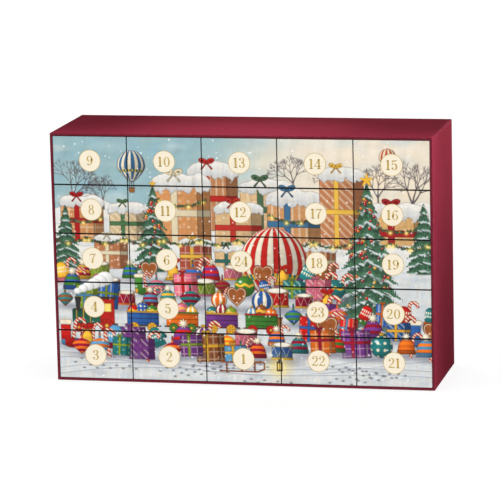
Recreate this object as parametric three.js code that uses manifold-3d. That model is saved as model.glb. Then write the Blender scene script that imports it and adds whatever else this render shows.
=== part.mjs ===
// Puzzle advent calendar.
// A shallow board case wrapped in paper stands on its long side. A slotted card lattice divides it
// into compartments. Each compartment holds an open card drawer with loose jigsaw pieces in it.
// The fronts of the drawers make up one picture, and the number of each is its place in the table
// below. Where a number stands twice, one above the other, its drawer is two rows high.
//
// Millimetres. +X points right as seen from the front, the drawers face -Y, and +Z is up.
// The origin is at the middle of the underside.

import * as THREE from 'three';
import { mergeVertices } from 'three/addons/utils/BufferGeometryUtils.js';
import Module from 'manifold-3d';

const wasm = await Module();
wasm.setup();

// Order of the numbers, seen from the front, with the top row first
const numbersByRow = [
  [9, 10, 13, 14, 15],
  [8, 11, 12, 17, 16],
  [7, 6, 24, 18, 19],
  [4, 5, 24, 23, 20],
  [3, 2, 1, 22, 21],
];

// Case
const caseWidth = 400;
const caseHeight = 262;
const caseDepth = 125;
const boardThickness = 2;
const wrapThickness = 0.3;
const turnInDepth = 15;
const turnUnderWidth = 15;
const baseSheetThickness = 0.3;
const baseSheetInset = 4;

// Lattice
const cardThickness = 0.4;
const latticeSetback = 0.8;

// Drawers
const drawerWall = 0.8;
const drawerSetback = 0.5;
const glueTabLength = 16;
const glueTabTopGap = 2;

// Loose jigsaw pieces in a drawer
const heapHeight = 13;
const heapRimHeight = 3.5;
const heapLump = 1.6;
const heapFacesAcross = 4;
const heapFacesAlong = 5;
const lumpWavesAcross = 1.4;
const lumpWavesAlong = 1.1;

// Clearances
const glueLine = 0.05;
const runningGap = 0.3;
const headroom = 0.4;
const slotGap = 0.2;
const endGap = 0.25;
const restGap = 0.3;
const heapSideGap = 1.5;

// How far a cut runs past the face that it opens
const overrun = 1;

// Places that follow from the sizes above. Low and high edges are kept as pairs.
const skin = wrapThickness + glueLine;
const wrapBase = baseSheetThickness + glueLine;
const caseBox = {
  x: [-caseWidth / 2, caseWidth / 2],
  y: [-caseDepth / 2, caseDepth / 2],
  z: [wrapBase, caseHeight],
};
const boardBox = shrink(caseBox, skin, skin);
const cavityBox = shrink(boardBox, boardThickness, 0);
const mouthBox = shrink(cavityBox, glueLine + wrapThickness, 0);
const frontPlane = caseBox.y[0];
const cavityBack = cavityBox.y[1];

// Compartments
const rowCount = numbersByRow.length;
const columnCount = numbersByRow[0].length;
const latticeBox = {
  x: [mouthBox.x[0] + endGap, mouthBox.x[1] - endGap],
  y: [frontPlane + latticeSetback, cavityBack - endGap],
  z: [mouthBox.z[0] + endGap, mouthBox.z[1] - endGap],
};
const mouthWidth = mouthBox.x[1] - mouthBox.x[0];
const mouthHeight = mouthBox.z[1] - mouthBox.z[0];
const cellWidth = (mouthWidth - (columnCount - 1) * cardThickness) / columnCount;
const cellHeight = (mouthHeight - (rowCount - 1) * cardThickness) / rowCount;
const columnPitch = cellWidth + cardThickness;
const rowPitch = cellHeight + cardThickness;

// Drawer outside sizes
const drawerWidth = cellWidth - 2 * runningGap;
const drawerDepth = cavityBack - endGap - frontPlane - drawerSetback;

// A box with its side and end edges moved in, and its open front moved in by another amount
function shrink(box, wall, front) {
  return {
    x: [box.x[0] + wall, box.x[1] - wall],
    y: [box.y[0] + front, box.y[1] - wall],
    z: [box.z[0] + wall, box.z[1] - wall],
  };
}

// Closed box between the given edges
function block({ x, y, z }) {
  const geometry = new THREE.BoxGeometry(x[1] - x[0], y[1] - y[0], z[1] - z[0]);
  return geometry.translate((x[0] + x[1]) / 2, (y[0] + y[1]) / 2, (z[0] + z[1]) / 2);
}

function solidFrom(geometry) {
  const bare = geometry.clone();
  bare.deleteAttribute('normal');
  bare.deleteAttribute('uv');
  const merged = mergeVertices(bare);
  return new wasm.Manifold(new wasm.Mesh({
    numProp: 3,
    vertProperties: new Float32Array(merged.attributes.position.array),
    triVerts: new Uint32Array(merged.index.array),
  }));
}

function geometryFrom(solid) {
  const mesh = solid.getMesh();
  const geometry = new THREE.BufferGeometry();
  geometry.setAttribute('position', new THREE.BufferAttribute(mesh.vertProperties, 3));
  geometry.setIndex(new THREE.BufferAttribute(mesh.triVerts, 1));
  const faceted = geometry.toNonIndexed();
  faceted.computeVertexNormals();
  return faceted;
}

// The first box with the others cut out of it
function cutBlock(whole, cuts) {
  let solid = solidFrom(block(whole));
  for (const cut of cuts) {
    solid = solid.subtract(solidFrom(block(cut)));
  }
  return solid;
}

function namedMesh(name, geometry, colour, roughness) {
  const material = new THREE.MeshStandardMaterial({ color: colour, roughness, metalness: 0 });
  const mesh = new THREE.Mesh(geometry, material);
  mesh.name = name;
  return mesh;
}

// Greyboard tray: four walls and a back, open at the front
function caseBoard() {
  const hollow = { ...cavityBox, y: [frontPlane - overrun, cavityBack] };
  return namedMesh('case_board', geometryFrom(cutBlock(boardBox, [hollow])), '#9b958b', 0.9);
}

// Paper wrap: a skin over the outside of the board, over its rim and a little way into the mouth.
// It is open under the base, where only a margin is turned under.
function caseWrap() {
  const pocket = shrink(caseBox, wrapThickness, wrapThickness);
  const turnInEnd = frontPlane + turnInDepth;
  const turnIn = { ...shrink(cavityBox, glueLine, 0), y: [frontPlane, turnInEnd] };
  const mouth = { ...mouthBox, y: [frontPlane - overrun, turnInEnd + overrun] };
  const underside = {
    x: [caseBox.x[0] + turnUnderWidth, caseBox.x[1] - turnUnderWidth],
    y: [caseBox.y[0] + turnUnderWidth, caseBox.y[1] - turnUnderWidth],
    z: [wrapBase - overrun, wrapBase + wrapThickness + glueLine / 2],
  };
  const shell = cutBlock(caseBox, [pocket, underside]);
  const lined = shell.add(solidFrom(block(turnIn)));
  const wrap = lined.subtract(solidFrom(block(mouth)));
  return namedMesh('case_wrap', geometryFrom(wrap), '#8f2b45', 0.55);
}

// Paper sheet over the turned-under margin of the wrap
function baseSheet() {
  const sheet = {
    x: [caseBox.x[0] + baseSheetInset, caseBox.x[1] - baseSheetInset],
    y: [caseBox.y[0] + baseSheetInset, caseBox.y[1] - baseSheetInset],
    z: [0, baseSheetThickness],
  };
  return namedMesh('base_sheet', block(sheet), '#7d2a3d', 0.8);
}

// Middle of the card after the given column, counted from the left
function uprightCentre(column) {
  return mouthBox.x[0] + column * columnPitch - cardThickness / 2;
}

// Middle of the card under the given row, counted from the top
function shelfCentre(row) {
  return mouthBox.z[1] - row * rowPitch + cardThickness / 2;
}

// Low and high edge of a card, or of the slot that it sits in, around the middle
function around(middle, gap) {
  const half = cardThickness / 2 + gap;
  return [middle - half, middle + half];
}

// Uprights and shelves are halved where they cross: each is slotted half way
const halvingMiddle = (latticeBox.y[0] + latticeBox.y[1]) / 2;
const frontSlot = [latticeBox.y[0] - overrun, halvingMiddle + slotGap / 2];
const backSlot = [halvingMiddle - slotGap / 2, latticeBox.y[1] + overrun];

// A shelf is left out where one drawer fills the rows above and below it
function drawerSpans(row, column) {
  return numbersByRow[row - 1][column] === numbersByRow[row][column];
}

function upright(column) {
  const x = around(uprightCentre(column), 0);
  const slots = [];
  for (let row = 1; row < rowCount; row += 1) {
    const meetsShelf = !drawerSpans(row, column - 1) || !drawerSpans(row, column);
    if (meetsShelf) {
      slots.push({
        x: [x[0] - overrun, x[1] + overrun],
        y: frontSlot,
        z: around(shelfCentre(row), slotGap),
      });
    }
  }
  const card = cutBlock({ ...latticeBox, x }, slots);
  return namedMesh(`upright_${column}`, geometryFrom(card), '#2d2a2a', 0.85);
}

// A shelf under the given row, from the first to the last of the given columns. Where it ends at an
// upright, the end of its front half sits in the upright's slot.
function shelf(row, firstColumn, lastColumn, name) {
  const endsAtWall = lastColumn === columnCount - 1;
  const startsAtWall = firstColumn === 0;
  const left = startsAtWall ? latticeBox.x[0] : uprightCentre(firstColumn) - cardThickness / 2;
  const right = endsAtWall ? latticeBox.x[1] : uprightCentre(lastColumn + 1) + cardThickness / 2;
  const z = around(shelfCentre(row), 0);
  const slots = [];
  for (let column = firstColumn; column <= lastColumn + 1; column += 1) {
    if (column > 0 && column < columnCount) {
      slots.push({
        x: around(uprightCentre(column), slotGap),
        y: backSlot,
        z: [z[0] - overrun, z[1] + overrun],
      });
    }
  }
  const card = cutBlock({ ...latticeBox, x: [left, right], z }, slots);
  return namedMesh(name, geometryFrom(card), '#2d2a2a', 0.85);
}

// One shelf under each row but the last, in separate stretches beside a drawer that spans it
function shelves(row) {
  const stretches = [];
  let first = 0;
  for (let column = 0; column <= columnCount; column += 1) {
    const stops = column === columnCount || drawerSpans(row, column);
    if (stops && column > first) {
      stretches.push([first, column - 1]);
    }
    if (stops) {
      first = column + 1;
    }
  }
  return stretches.map(([from, to]) => {
    const sideName = from === 0 ? 'left' : 'right';
    const name = stretches.length === 1 ? `shelf_${row}` : `shelf_${row}_${sideName}`;
    return shelf(row, from, to, name);
  });
}

// Card drawer folded from one blank, open at the top, with its front at y = 0 and its underside at
// z = 0. Its side walls end in tabs that are glued inside the front wall and the back wall.
function drawerTray(name, height, colour) {
  const outside = {
    x: [-drawerWidth / 2, drawerWidth / 2],
    y: [0, drawerDepth],
    z: [0, height],
  };
  const inside = {
    x: [outside.x[0] + drawerWall, outside.x[1] - drawerWall],
    y: [drawerWall, drawerDepth - drawerWall],
    z: [drawerWall, height + overrun],
  };
  const tabsAcross = [
    [outside.x[0], inside.x[0] + glueTabLength],
    [inside.x[1] - glueTabLength, outside.x[1]],
  ];
  const tabsAlong = [
    [0, 2 * drawerWall],
    [drawerDepth - 2 * drawerWall, drawerDepth],
  ];
  let tray = cutBlock(outside, [inside]);
  for (const x of tabsAcross) {
    for (const y of tabsAlong) {
      tray = tray.add(solidFrom(block({ x, y, z: [0, height - glueTabTopGap] })));
    }
  }
  return namedMesh(name, geometryFrom(tray), colour, 0.6);
}

// Loose pieces in a drawer as one low heap. Its top falls from the middle to the edge, with lumps
// that differ from drawer to drawer.
function puzzleHeap(name, number) {
  const width = drawerWidth - 2 * (drawerWall + heapSideGap);
  const depth = drawerDepth - 2 * (2 * drawerWall + heapSideGap);
  const floor = drawerWall + restGap;
  const heap = new THREE.BoxGeometry(width, depth, heapHeight, heapFacesAcross, heapFacesAlong, 1);
  const points = heap.attributes.position;
  for (let i = 0; i < points.count; i += 1) {
    if (points.getZ(i) > 0) {
      const across = points.getX(i) / width;
      const along = points.getY(i) / depth;
      const dome = Math.cos(Math.PI * across) * Math.cos(Math.PI * along);
      const waveAcross = Math.sin(2 * Math.PI * lumpWavesAcross * across + number);
      const waveAlong = Math.cos(2 * Math.PI * lumpWavesAlong * along + 2 * number);
      const crown = heapHeight - heapRimHeight - heapLump + heapLump * waveAcross * waveAlong;
      points.setZ(i, heapRimHeight + crown * dome - heapHeight / 2);
    }
  }
  heap.translate(0, drawerDepth / 2, floor + heapHeight / 2);
  return namedMesh(name, heap, '#5f86a8', 0.7);
}

// Main colour of the picture in each row, from the sky down to the snow in front
const rowColours = ['#c9d3cf', '#c79a6a', '#a8674a', '#b8483a', '#d9dde2'];

// A drawer with its heap, in the compartment whose lowest row and column are given
function filledDrawer(number, topRow, bottomRow, column) {
  const label = String(number).padStart(2, '0');
  const rowsHigh = bottomRow - topRow + 1;
  const height = rowsHigh * rowPitch - cardThickness - 2 * runningGap - headroom;
  const group = new THREE.Group();
  group.add(drawerTray(`drawer_${label}`, height, rowColours[topRow % rowColours.length]));
  group.add(puzzleHeap(`puzzle_${label}`, number));
  const middle = mouthBox.x[0] + column * columnPitch + cellWidth / 2;
  const underside = mouthBox.z[1] - (bottomRow + 1) * rowPitch + cardThickness + runningGap;
  group.position.set(middle, frontPlane + drawerSetback, underside);
  return group;
}

const calendar = new THREE.Group();
calendar.add(caseBoard(), caseWrap(), baseSheet());
for (let column = 1; column < columnCount; column += 1) {
  calendar.add(upright(column));
}
for (let row = 1; row < rowCount; row += 1) {
  calendar.add(...shelves(row));
}
for (let row = 0; row < rowCount; row += 1) {
  for (let column = 0; column < columnCount; column += 1) {
    const startsHere = row === 0 || !drawerSpans(row, column);
    if (startsHere) {
      const spansDown = row + 1 < rowCount && drawerSpans(row + 1, column);
      const bottomRow = spansDown ? row + 1 : row;
      calendar.add(filledDrawer(numbersByRow[row][column], row, bottomRow, column));
    }
  }
}

export default calendar;
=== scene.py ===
"""Puzzle advent calendar: a wrapped board case full of numbered card drawers with jigsaw pieces."""

import math

import bpy
import numpy as np
from mathutils import Matrix, Vector


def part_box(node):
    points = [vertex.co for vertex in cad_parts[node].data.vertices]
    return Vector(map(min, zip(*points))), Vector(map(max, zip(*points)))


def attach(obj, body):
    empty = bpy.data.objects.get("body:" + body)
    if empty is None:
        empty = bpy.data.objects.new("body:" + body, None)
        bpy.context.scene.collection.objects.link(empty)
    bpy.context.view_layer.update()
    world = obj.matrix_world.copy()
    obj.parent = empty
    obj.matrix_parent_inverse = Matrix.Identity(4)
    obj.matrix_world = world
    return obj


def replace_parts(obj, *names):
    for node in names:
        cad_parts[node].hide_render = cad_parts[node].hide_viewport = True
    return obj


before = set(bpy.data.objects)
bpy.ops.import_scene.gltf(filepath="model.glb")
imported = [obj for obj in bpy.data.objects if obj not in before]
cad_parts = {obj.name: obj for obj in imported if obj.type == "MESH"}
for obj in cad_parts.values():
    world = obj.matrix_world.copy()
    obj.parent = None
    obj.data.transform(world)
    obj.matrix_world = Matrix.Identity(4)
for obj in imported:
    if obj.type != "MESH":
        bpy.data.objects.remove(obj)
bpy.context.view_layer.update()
mm = 0.001

# Camera. The calendar is seen from the right and from above, through a long lens that keeps its
# edges nearly parallel. Lengths are shares of the case's width, angles are in degrees, and the aim
# is beside the middle of the front.
case_low, case_high = (np.array(corner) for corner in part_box("case_wrap"))
case_width, case_height = (case_high - case_low)[[0, 2]]
view_azimuth = 12.83
view_elevation = 10.96
view_roll = -1.30
view_distance = 8.34
aim_right, aim_up = 0.0238, 0.0298
sensor_width = 36.0
lens_per_frame_width = 6.508

placing = Matrix.Translation((
    aim_right * case_width, case_low[1], case_low[2] + case_height / 2 + aim_up * case_width))
for degrees, axis in ((view_azimuth, "Z"), (90 - view_elevation, "X"), (view_roll, "Z")):
    placing = placing @ Matrix.Rotation(math.radians(degrees), 4, axis)
camera_data = bpy.data.cameras.new("camera")
camera_data.sensor_width = sensor_width
camera_data.lens = lens_per_frame_width * sensor_width
camera_data.clip_end = 100
camera = bpy.data.objects.new("camera", camera_data)
camera.matrix_world = placing @ Matrix.Translation((0, 0, view_distance * case_width))
bpy.context.collection.objects.link(camera)
bpy.context.scene.camera = camera

# Studio. A white room with a pale floor that is lit from below like a picture table. Two softboxes
# with narrow grids put a pool of light on the top of the case and one on the upper part of its right
# side, which fade towards the back.
bpy.context.scene.view_settings.view_transform = "Standard"
room = bpy.data.worlds.new("white_room")
room.use_nodes = True
room.node_tree.nodes["Background"].inputs["Color"].default_value = (1, 1, 1, 1)
room.node_tree.nodes["Background"].inputs["Strength"].default_value = 1.04
bpy.context.scene.world = room


def softbox(name, place, target, width, height, watts, grid_degrees):
    """Area light that faces the target, with its beam held to a cone by a grid."""
    data = bpy.data.lights.new(name, "AREA")
    data.shape = "RECTANGLE"
    data.size = width
    data.size_y = height
    data.energy = watts
    data.spread = math.radians(grid_degrees)
    lamp = bpy.data.objects.new(name, data)
    away = Vector(place) - Vector(target)
    lamp.matrix_world = Matrix.Translation(place) @ away.to_track_quat("Z", "Y").to_matrix().to_4x4()
    bpy.context.collection.objects.link(lamp)


def new_finish(name, **settings):
    """Material of one principled shader, whose plain values are given by socket name."""
    material = bpy.data.materials.new(name)
    material.use_nodes = True
    shader = material.node_tree.nodes["Principled BSDF"]
    for label, value in settings.items():
        shader.inputs[label.replace("_", " ")].default_value = value
    return material, material.node_tree, shader


softbox("top_light", (0.0, -0.006, 1.7), (0.0, -0.006, 0.26), 0.21, 0.035, 0.068, 7)
softbox("side_light", (1.6, 0.1, 0.6), (0.2, 0.09, 0.28), 0.2, 0.2, 0.47, 18)
floor_reach = 12
floor_mesh = bpy.data.meshes.new("floor")
floor_corners = [(x * floor_reach, y * floor_reach, 0) for x, y in ((-1, -1), (1, -1), (1, 1), (-1, 1))]
floor_mesh.from_pydata(floor_corners, [], [(0, 1, 2, 3)])
floor_mesh.materials.append(new_finish(
    "floor_paint", Base_Color=(0.23, 0.23, 0.23, 1), Roughness=0.9, Specular_IOR_Level=0.1,
    Emission_Color=(1, 1, 1, 1), Emission_Strength=0.80)[0])
floor = bpy.data.objects.new("floor", floor_mesh)
bpy.context.collection.objects.link(floor)


# Board case. Four walls and a back of 2 mm greyboard, which is pressed from waste paper: grey-brown,
# cloudy and full of darker and lighter flecks. The modelled board keeps its shape.
def add_node(tree, kind, inputs=None, **settings):
    """Adds a shader node, each of whose inputs gets a value or another's output. Gives its outputs."""
    made = tree.nodes.new("ShaderNode" + kind)
    for label, value in settings.items():
        setattr(made, label, value)
    for label, value in (inputs or {}).items():
        if isinstance(value, bpy.types.NodeSocket):
            tree.links.new(value, made.inputs[label])
        else:
            made.inputs[label].default_value = value
    return made.outputs


def new_group(name, inputs, outputs):
    """Node group whose inputs have the given usual values, with those inputs and its outputs."""
    tree = bpy.data.node_groups.new(name, "ShaderNodeTree")
    for label, usual in inputs.items():
        socket = tree.interface.new_socket(label, in_out="INPUT", socket_type="NodeSocketFloat")
        socket.default_value = usual
    for label in outputs:
        tree.interface.new_socket(label, in_out="OUTPUT", socket_type="NodeSocketFloat")
    return tree, tree.nodes.new("NodeGroupInput").outputs, tree.nodes.new("NodeGroupOutput").inputs


def toned(tree, colour, mask, low, high):
    """Colour, or the output that gives one, made darker or lighter from low to high over the mask."""
    tone = add_node(tree, "MapRange", {
        "Value": mask, "From Min": 0.3, "From Max": 0.7, "To Min": low, "To Max": high})["Result"]
    return add_node(tree, "VectorMath", {0: colour, 1: tone}, operation="MULTIPLY")[0]


def blended(tree, mask, colour, other):
    """Colour where the mask is 0, and the other where it is 1."""
    return add_node(tree, "MixRGB", {"Fac": mask, "Color1": colour, "Color2": other})["Color"]


def scaled(tree, value, factor, shift=0.0):
    """The value times the factor, plus the shift."""
    return add_node(tree, "Math", {0: value, 1: factor, 2: shift}, operation="MULTIPLY_ADD")[0]


def finish_off(tree, shader, colour, roughness, height, depth_mm):
    """Joins colour and roughness to the shader, with a bump as deep as given where the height is 1."""
    bump = add_node(tree, "Bump", {"Height": height, "Distance": depth_mm * mm, "Strength": 1.0})
    for label, source in (("Base Color", colour), ("Roughness", roughness), ("Normal", bump["Normal"])):
        tree.links.new(source, shader.inputs[label])


def cover(name, material):
    """Gives a carried-over node of the model the material in all its slots."""
    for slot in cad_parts[name].material_slots:
        slot.material = material


# Paper grain: broad clouds from the pulp, short fibres, and flecks where the fleck noise is high.
grain, grain_in, grain_out = new_group(
    "paper_grain", {"Cloud Scale": 25, "Fibre Scale": 900, "Fleck Scale": 500}, ("Cloud", "Fibre", "Fleck"))
grain_place = add_node(grain, "TexCoord")["Object"]
for mask, look in (("Cloud", {"Detail": 3, "Roughness": 0.6}),
                   ("Fibre", {"Detail": 4, "Roughness": 0.7, "Distortion": 1.2}),
                   ("Fleck", {"Detail": 1, "Distortion": 0.6})):
    look = look | {"Vector": grain_place, "Scale": grain_in[mask + " Scale"]}
    noise = add_node(grain, "TexNoise", look)["Fac"]
    if mask == "Fleck":
        noise = add_node(grain, "MapRange", {"Value": noise, "From Min": 0.62, "From Max": 0.70})["Result"]
    grain.links.new(noise, grain_out[mask])


def add_grain(tree, cloud, fibre, fleck):
    """Places the paper grain in a material with its own scales."""
    scales = {"Cloud Scale": cloud, "Fibre Scale": fibre, "Fleck Scale": fleck}
    return add_node(tree, "Group", scales, node_tree=grain)


def pulp_finish(name, gloss, scales, colour, flecks, clouds, fibres, roughness, depth_mm):
    """Plain board or card: coloured pulp with flecks, toned by its clouds and fibres, with roughness
    (slope, level) and bump that follow the fibres."""
    material, tree, shader = new_finish(name, Specular_IOR_Level=gloss)
    pulp = add_grain(tree, *scales)
    colour = toned(tree, blended(tree, pulp["Fleck"], colour, flecks), pulp["Cloud"], *clouds)
    colour = toned(tree, colour, pulp["Fibre"], *fibres)
    finish_off(tree, shader, colour, scaled(tree, pulp["Fibre"], *roughness), pulp["Fibre"], depth_mm)
    return material


cover("case_board", pulp_finish(
    "greyboard", 0.2, (18, 700, 650), (0.330, 0.305, 0.262, 1), (0.135, 0.118, 0.098, 1), (0.84, 1.12),
    (0.86, 1.10), (0.15, 0.78), 0.06))


# Paper wrap. One sheet of burgundy paper is glued round the board, over its rim and 15 mm into the
# mouth. Its folds are slightly round and rubbed. Its colour carries painted shade: it runs from
# crimson in front to wine at the back, and the rim is painted darker towards wine.
def ring_around(half_a, half_b, radius, shares, arc_steps=4):
    """Rounded rectangle around zero, anticlockwise from the low end of the right side. Each side is a
    straight line with points at the given shares of its length, and then a quarter circle."""
    turn = np.linspace(0, np.pi / 2, arc_steps + 1)[1:-1]
    corner = radius * np.stack((np.cos(turn), np.sin(turn)), axis=1)
    sides = []
    for side in range(4):
        out, along = (half_a, half_b) if side % 2 == 0 else (half_b, half_a)
        reach = along - radius
        straight = np.stack((np.full(len(shares[side]), out), (2 * shares[side] - 1) * reach), axis=1)
        points = np.concatenate((straight, corner + (out - radius, reach)))
        cosine, sine = ((1, 0), (0, 1), (-1, 0), (0, -1))[side]
        sides.append(points @ np.array(((cosine, sine), (-sine, cosine))))
    return np.concatenate(sides)


def loft(rings, closed=False):
    """Surface through rings of equally many points: a grid of quads, in the order of the rings. It
    ends in a face on the first and on the last ring, or runs from the last ring back to the first."""
    index = np.arange(rings.shape[0] * rings.shape[1]).reshape(rings.shape[:2])
    caps = [] if closed else [index[0][::-1], index[-1]]
    rows = np.concatenate((index, index[:1])) if closed else index
    ahead = np.roll(rows, -1, axis=1)
    quads = np.stack((rows[:-1], ahead[:-1], ahead[1:], rows[1:]), axis=-1).reshape(-1, 4)
    return rings.reshape(-1, 3), quads, caps


def new_piece(name, surface, body, slot, materials, smooth=False, **point_values):
    """Mesh object from the points in millimetres and the faces of a surface, with two or three values
    on each point for every named attribute. The faces on whole rings stay flat."""
    points, quads, caps = surface
    mesh = bpy.data.meshes.new(name)
    mesh.vertices.add(len(points))
    mesh.vertices.foreach_set("co", (points * mm).astype(np.float32).ravel())
    totals = np.concatenate((np.full(len(quads), 4), [len(cap) for cap in caps])).astype(np.int32)
    corners = np.concatenate([quads.ravel()] + caps).astype(np.int32)
    mesh.loops.add(len(corners))
    mesh.loops.foreach_set("vertex_index", corners)
    mesh.polygons.add(len(totals))
    mesh.polygons.foreach_set("loop_start", (np.cumsum(totals) - totals).astype(np.int32))
    mesh.update(calc_edges=True)
    mesh.polygons.foreach_set("use_smooth", np.arange(len(totals)) < (len(quads) if smooth else 0))
    for label, given in point_values.items():
        values = np.ones((len(points), 4), dtype=np.float32)
        values[:, :given.shape[1]] = given
        mesh.attributes.new(label, "FLOAT_COLOR", "POINT").data.foreach_set("color", values.ravel())
    for material in materials:
        mesh.materials.append(material)
    piece = bpy.data.objects.new(name, mesh)
    bpy.context.collection.objects.link(piece)
    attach(piece, body)
    return piece


wrap_thickness = 0.3
rim_width = 2.65
turn_in_depth = 15.0
corner_radius = 1.0
back_fold, outer_fold, inner_fold = 1.0, 0.7, 0.5
smallest_radius = 0.25
fold_zone = 3.0
rub_reach, rub_fade = 1.2, 1.6
rim_shade = 0.55
half_width, half_height = case_width / mm / 2, case_height / mm / 2
middle_height = (case_low[2] + case_high[2]) / mm / 2
wrap_back, wrap_front = -case_high[1] / mm, -case_low[1] / mm


def fold(inset, level, radius, turn_from, turn_to, steps=4, inwards=1):
    """Insets and levels round a fold: a quarter circle about the given centre."""
    turn = np.linspace(math.radians(turn_from), math.radians(turn_to), steps + 1)
    return [(inset - inwards * radius * math.cos(a), level + radius * math.sin(a)) for a in turn]


def wrap_profile(skin):
    """Insets and levels of the paper's face (skin 0) or glued side (skin its thickness), from the
    back, over the rim, to the edge inside the mouth."""
    back = [(2 * fold_zone, wrap_back + skin), (fold_zone, wrap_back + skin)]
    back += fold(back_fold, wrap_back + back_fold, back_fold - skin, -90, 0)
    walls = [(skin, wrap_back + fold_zone), (skin, 0.0), (skin, wrap_front - fold_zone)]
    rim_out = fold(outer_fold, wrap_front - outer_fold, outer_fold - skin, 0, 90)
    rim_in = fold(rim_width - inner_fold, wrap_front - inner_fold, inner_fold - skin, 90, 0, inwards=-1)
    mouth = [(rim_width - skin, wrap_front - 2.0), (rim_width - skin, wrap_front - turn_in_depth)]
    return back + walls + rim_out + rim_in + mouth


face_profile = wrap_profile(0.0)
wrap_insets, wrap_levels = np.array(face_profile + wrap_profile(wrap_thickness)[::-1]).T
wrap_shares = [np.array((0, fold_zone / side, 0.5, 1 - fold_zone / side, 1))
               for side in (2 * half_height, 2 * half_width) * 2]
wrap_rings = []
for inset, level in zip(wrap_insets, wrap_levels):
    radius = max(corner_radius - inset, smallest_radius)
    outline = ring_around(half_width - inset, half_height - inset, radius, wrap_shares)
    depth = np.full(len(outline), -level)
    wrap_rings.append(np.stack((outline[:, 0], depth, outline[:, 1] + middle_height), axis=1))
wrap_rings = np.array(wrap_rings)
x, y, z = wrap_rings.reshape(-1, 3).T
edge_gaps = np.sort((half_width - abs(x), half_height - abs(z - middle_height),
                     np.minimum(abs(y + wrap_back), abs(y + wrap_front))), axis=0)
on_glued_side = np.repeat(np.arange(len(wrap_rings)) >= len(face_profile), wrap_rings.shape[1])
on_fold = np.clip(rub_reach - (edge_gaps[0] + edge_gaps[1]) / rub_fade, 0, 1) * ~on_glued_side
# Painted shade on the rim: from its outer fold over its front to the turn-in in the mouth, the paper is
# made darker towards wine, by up to the rim_shade share.
rim_painted_shade = np.repeat(np.clip(wrap_insets, 0, rim_shade) * (wrap_levels > 0), wrap_rings.shape[1])

# Fold wear: the mark on a fold, broken up by rough noise into rubbed spots.
wear, wear_in, wear_out = new_group("fold_wear", {"Mark": 0, "Spot Scale": 300, "Amount": 0.5}, ("Rubbed",))
wear_place = add_node(wear, "TexCoord")["Object"]
wear_spots = add_node(wear, "TexNoise", {
    "Vector": wear_place, "Scale": wear_in["Spot Scale"], "Detail": 5, "Roughness": 0.7})["Fac"]
wear_mask = add_node(wear, "MapRange", {"Value": wear_spots, "From Min": 0.45, "From Max": 0.75})["Result"]
wear_mask = scaled(wear, scaled(wear, wear_mask, wear_in["Mark"]), wear_in["Amount"])
wear.links.new(wear_mask, wear_out["Rubbed"])


def read_marks(tree, amount):
    """Marks on a wrap or tray: its rubbed folds, its inner side, and on a wrap the painted shade on its
    rim.
    """
    marks = add_node(tree, "Attribute", attribute_name="marks")["Color"]
    marks = add_node(tree, "SeparateColor", {0: marks})
    rubbed = add_node(tree, "Group", {"Mark": marks["Red"], "Amount": amount}, node_tree=wear)["Rubbed"]
    return rubbed, marks["Green"], marks["Blue"]


def burgundy_finish(name, crimson, wine):
    """Matt coloured paper with painted shade, crimson in front to wine at the back and darker on a
    marked rim. It is rubbed on its folds and pale inside.
    """
    material, tree, shader = new_finish(name, Specular_IOR_Level=0.0)
    pulp = add_grain(tree, 14, 1100, 900)
    depth = add_node(tree, "SeparateXYZ", {0: add_node(tree, "TexCoord")["Object"]})["Y"]
    # Painted shade: the colour runs from crimson at the front to wine at the back, by the cube of the
    # nearness to the front.
    painted_light_share = add_node(tree, "MapRange", {
        "Value": depth, "From Min": case_high[1], "From Max": case_low[1]})["Result"]
    painted_light_share = add_node(tree, "Math", {0: painted_light_share, 1: 3.0}, operation="POWER")[0]
    colour = toned(tree, blended(tree, painted_light_share, wine, crimson), pulp["Cloud"], 0.93, 1.06)
    colour = toned(tree, colour, pulp["Fibre"], 0.92, 1.07)
    rubbed, glued, rim = read_marks(tree, 0.22)
    # Painted shade darkens the rim towards wine, and the rubbed folds are laid over it.
    colour = blended(tree, rubbed, blended(tree, rim, colour, wine), (0.42, 0.15, 0.18, 1))
    colour = blended(tree, glued, colour, (0.60, 0.56, 0.50, 1))
    finish_off(tree, shader, colour, scaled(tree, pulp["Fibre"], 0.25, 0.42), pulp["Fibre"], 0.035)
    return material


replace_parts(new_piece(
    "burgundy_wrap", loft(wrap_rings), "case", "wrap_paper",
    [burgundy_finish("burgundy_paper", (0.222, 0.0235, 0.0435, 1), (0.109, 0.0125, 0.0205, 1))],
    smooth=True, marks=np.stack((on_fold, on_glued_side, rim_painted_shade), axis=1)), "case_wrap")

# Base sheet. A second sheet of the same paper, glued over the underside to hide the edges of the
# wrap. It has darker tones than the wrap, with the same painted shade from front to back. The
# modelled sheet keeps its shape.
cover("base_sheet", burgundy_finish("base_paper", (0.120, 0.0150, 0.0245, 1), (0.100, 0.0130, 0.0205, 1)))

# Lattice. Uprights and shelves of thin black card, halved into each other where they cross. The
# card is near black, which also stands as painted shade in the gaps between the drawers, and it is
# slightly dusty. The modelled cards keep their shape.
black_card = pulp_finish(
    "black_card", 0.04, (30, 1300, 1500), (0.0105, 0.0115, 0.0120, 1), (0.034, 0.034, 0.034, 1),
    (0.75, 1.25), (1, 1), (0.2, 0.65), 0.03)
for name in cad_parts:
    if name.startswith(("upright_", "shelf_")):
        cover(name, black_card)

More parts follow.
